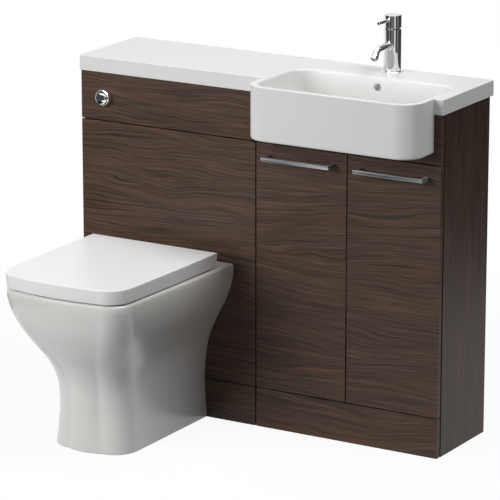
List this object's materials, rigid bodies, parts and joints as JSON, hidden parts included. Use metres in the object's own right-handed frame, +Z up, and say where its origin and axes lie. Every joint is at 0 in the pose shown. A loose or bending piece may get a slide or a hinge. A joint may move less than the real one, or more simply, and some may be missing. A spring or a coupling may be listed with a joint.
{
  "type": "toilet and basin combination unit",
  "caption": "Back-to-wall toilet and two-door vanity under one white worktop with a semi-recessed bowl, mixer tap and concealed cistern behind dark walnut panels.",
  "frame": {"origin": "centre of the overall box in plan, at floor level", "axes": "+X runs along the wall from the toilet to the basin, +Y points to the wall, +Z is up"},
  "size_m": [1.007, 0.752, 1.01],
  "materials": {
    "cast_marble": "gloss white cast marble",
    "pan_ceramic": "white glaze",
    "walnut": "dark walnut foil, satin, grain across the fronts and up the sides",
    "chrome": "polished",
    "satin_steel": "satin nickel",
    "zinc_steel": "zinc plated",
    "seat_plastic": "gloss white",
    "white_plastic": "moulded white",
    "rubber": "matte black"
  },
  "bodies": {
    "unit": {"basin_top": "cast_marble", "tap_body": "chrome", "tap_aerator": "zinc_steel", "tap_base_ring": "chrome", "tap_cartridge": "white_plastic", "tap_washer": "zinc_steel", "tap_stud": "zinc_steel", "waste_body": "chrome", "waste_nut": "white_plastic", "trap_body": "white_plastic", "trap_cup": "white_plastic", "trap_collars": "white_plastic", "trap_outlet": "white_plastic", "vanity_side_left": "walnut", "vanity_side_right": "walnut", "vanity_base": "walnut", "vanity_front_rail": "walnut", "vanity_back_rails": "walnut", "vanity_fascia": "walnut", "vanity_plinth": "walnut", "hinge_arms": "zinc_steel", "panel_brackets": "zinc_steel", "wc_side_left": "walnut", "wc_side_right": "walnut", "wc_upper_panel": "walnut", "wc_lower_panel": "walnut", "wc_plinth": "walnut", "wc_rails": "walnut", "cistern_tank": "white_plastic", "cistern_lid": "white_plastic", "flush_valve": "white_plastic", "fill_valve": "white_plastic", "flush_pipe": "white_plastic", "button_collar": "chrome", "button_nut": "white_plastic", "pan": "pan_ceramic", "pan_brackets": "white_plastic", "pan_screws": "zinc_steel", "seat_hinges": "chrome"},
    "door_left": {"door_left": "walnut", "handle_left": "satin_steel", "handle_screws_left": "zinc_steel", "hinge_cups_left": "zinc_steel"},
    "door_right": {"door_right": "walnut", "handle_right": "satin_steel", "handle_screws_right": "zinc_steel", "hinge_cups_right": "zinc_steel"},
    "links_left": {"hinge_links_left": "zinc_steel"},
    "links_right": {"hinge_links_right": "zinc_steel"},
    "seat_ring": {"seat_ring": "seat_plastic", "seat_buffers": "rubber"},
    "seat_lid": {"seat_lid": "seat_plastic"},
    "button_full": {"button_full": "chrome"},
    "button_half": {"button_half": "chrome"},
    "flush_seal": {"flush_seal": "rubber"},
    "fill_float": {"fill_float": "white_plastic"},
    "tap_stem": {"tap_spindle": "zinc_steel"},
    "tap_cap": {"tap_cap": "chrome", "tap_lever": "chrome"},
    "waste_plug": {"waste_plug": "chrome"}
  },
  "joints": [
    {"name": "door_left_hinge", "type": "hinge", "parent": "unit", "child": "door_left", "pos_m": [0.0065, 0.125, 0.4], "axis": [0, 0, -1], "range_deg": [0, 100]},
    {"name": "door_right_hinge", "type": "hinge", "parent": "unit", "child": "door_right", "pos_m": [0.4935, 0.125, 0.4], "axis": [0, 0, 1], "range_deg": [0, 100]},
    {"name": "hinge_links_left_turn", "type": "hinge", "parent": "unit", "child": "links_left", "pos_m": [0.0335, 0.1315, 0.4], "axis": [0, 0, 1], "range_deg": [0, 24]},
    {"name": "hinge_links_right_turn", "type": "hinge", "parent": "unit", "child": "links_right", "pos_m": [0.4665, 0.1315, 0.4], "axis": [0, 0, -1], "range_deg": [0, 24]},
    {"name": "seat_ring_hinge", "type": "hinge", "parent": "unit", "child": "seat_ring", "pos_m": [-0.25, 0.049, 0.42], "axis": [-1, 0, 0], "range_deg": [0, 94]},
    {"name": "seat_lid_hinge", "type": "hinge", "parent": "seat_ring", "child": "seat_lid", "pos_m": [-0.25, 0.049, 0.42], "axis": [1, 0, 0], "range_deg": [-94, 0]},
    {"name": "flush_button_full", "type": "slide", "parent": "unit", "child": "button_full", "axis": [0, 1, 0], "range_m": [0, 0.005], "stiffness_N_per_m": 600},
    {"name": "flush_button_half", "type": "slide", "parent": "unit", "child": "button_half", "axis": [0, 1, 0], "range_m": [0, 0.005], "stiffness_N_per_m": 600},
    {"name": "flush_seal_lift", "type": "slide", "parent": "unit", "child": "flush_seal", "axis": [0, 0, 1], "range_m": [0, 0.0205]},
    {"name": "fill_float_rise", "type": "slide", "parent": "unit", "child": "fill_float", "axis": [0, 0, 1], "range_m": [0, 0.045]},
    {"name": "tap_turn", "type": "hinge", "parent": "unit", "child": "tap_stem", "pos_m": [0.25, 0.337, 0.98], "axis": [0, 0, 1], "range_deg": [-45, 45]},
    {"name": "tap_lift", "type": "hinge", "parent": "tap_stem", "child": "tap_cap", "pos_m": [0.25, 0.352, 0.9805], "axis": [-1, 0, 0], "range_deg": [0, 20]},
    {"name": "waste_plug_slide", "type": "slide", "parent": "unit", "child": "waste_plug", "axis": [0, 0, 1], "range_m": [0, 0.01]}
  ],
  "couplings": [
    {"joint": "hinge_links_left_turn", "follows": "door_left_hinge", "ratio": 0.23834},
    {"joint": "hinge_links_right_turn", "follows": "door_right_hinge", "ratio": 0.23834},
    {"joint": "flush_seal_lift", "follows": "flush_button_full", "ratio": 4}
  ]
}
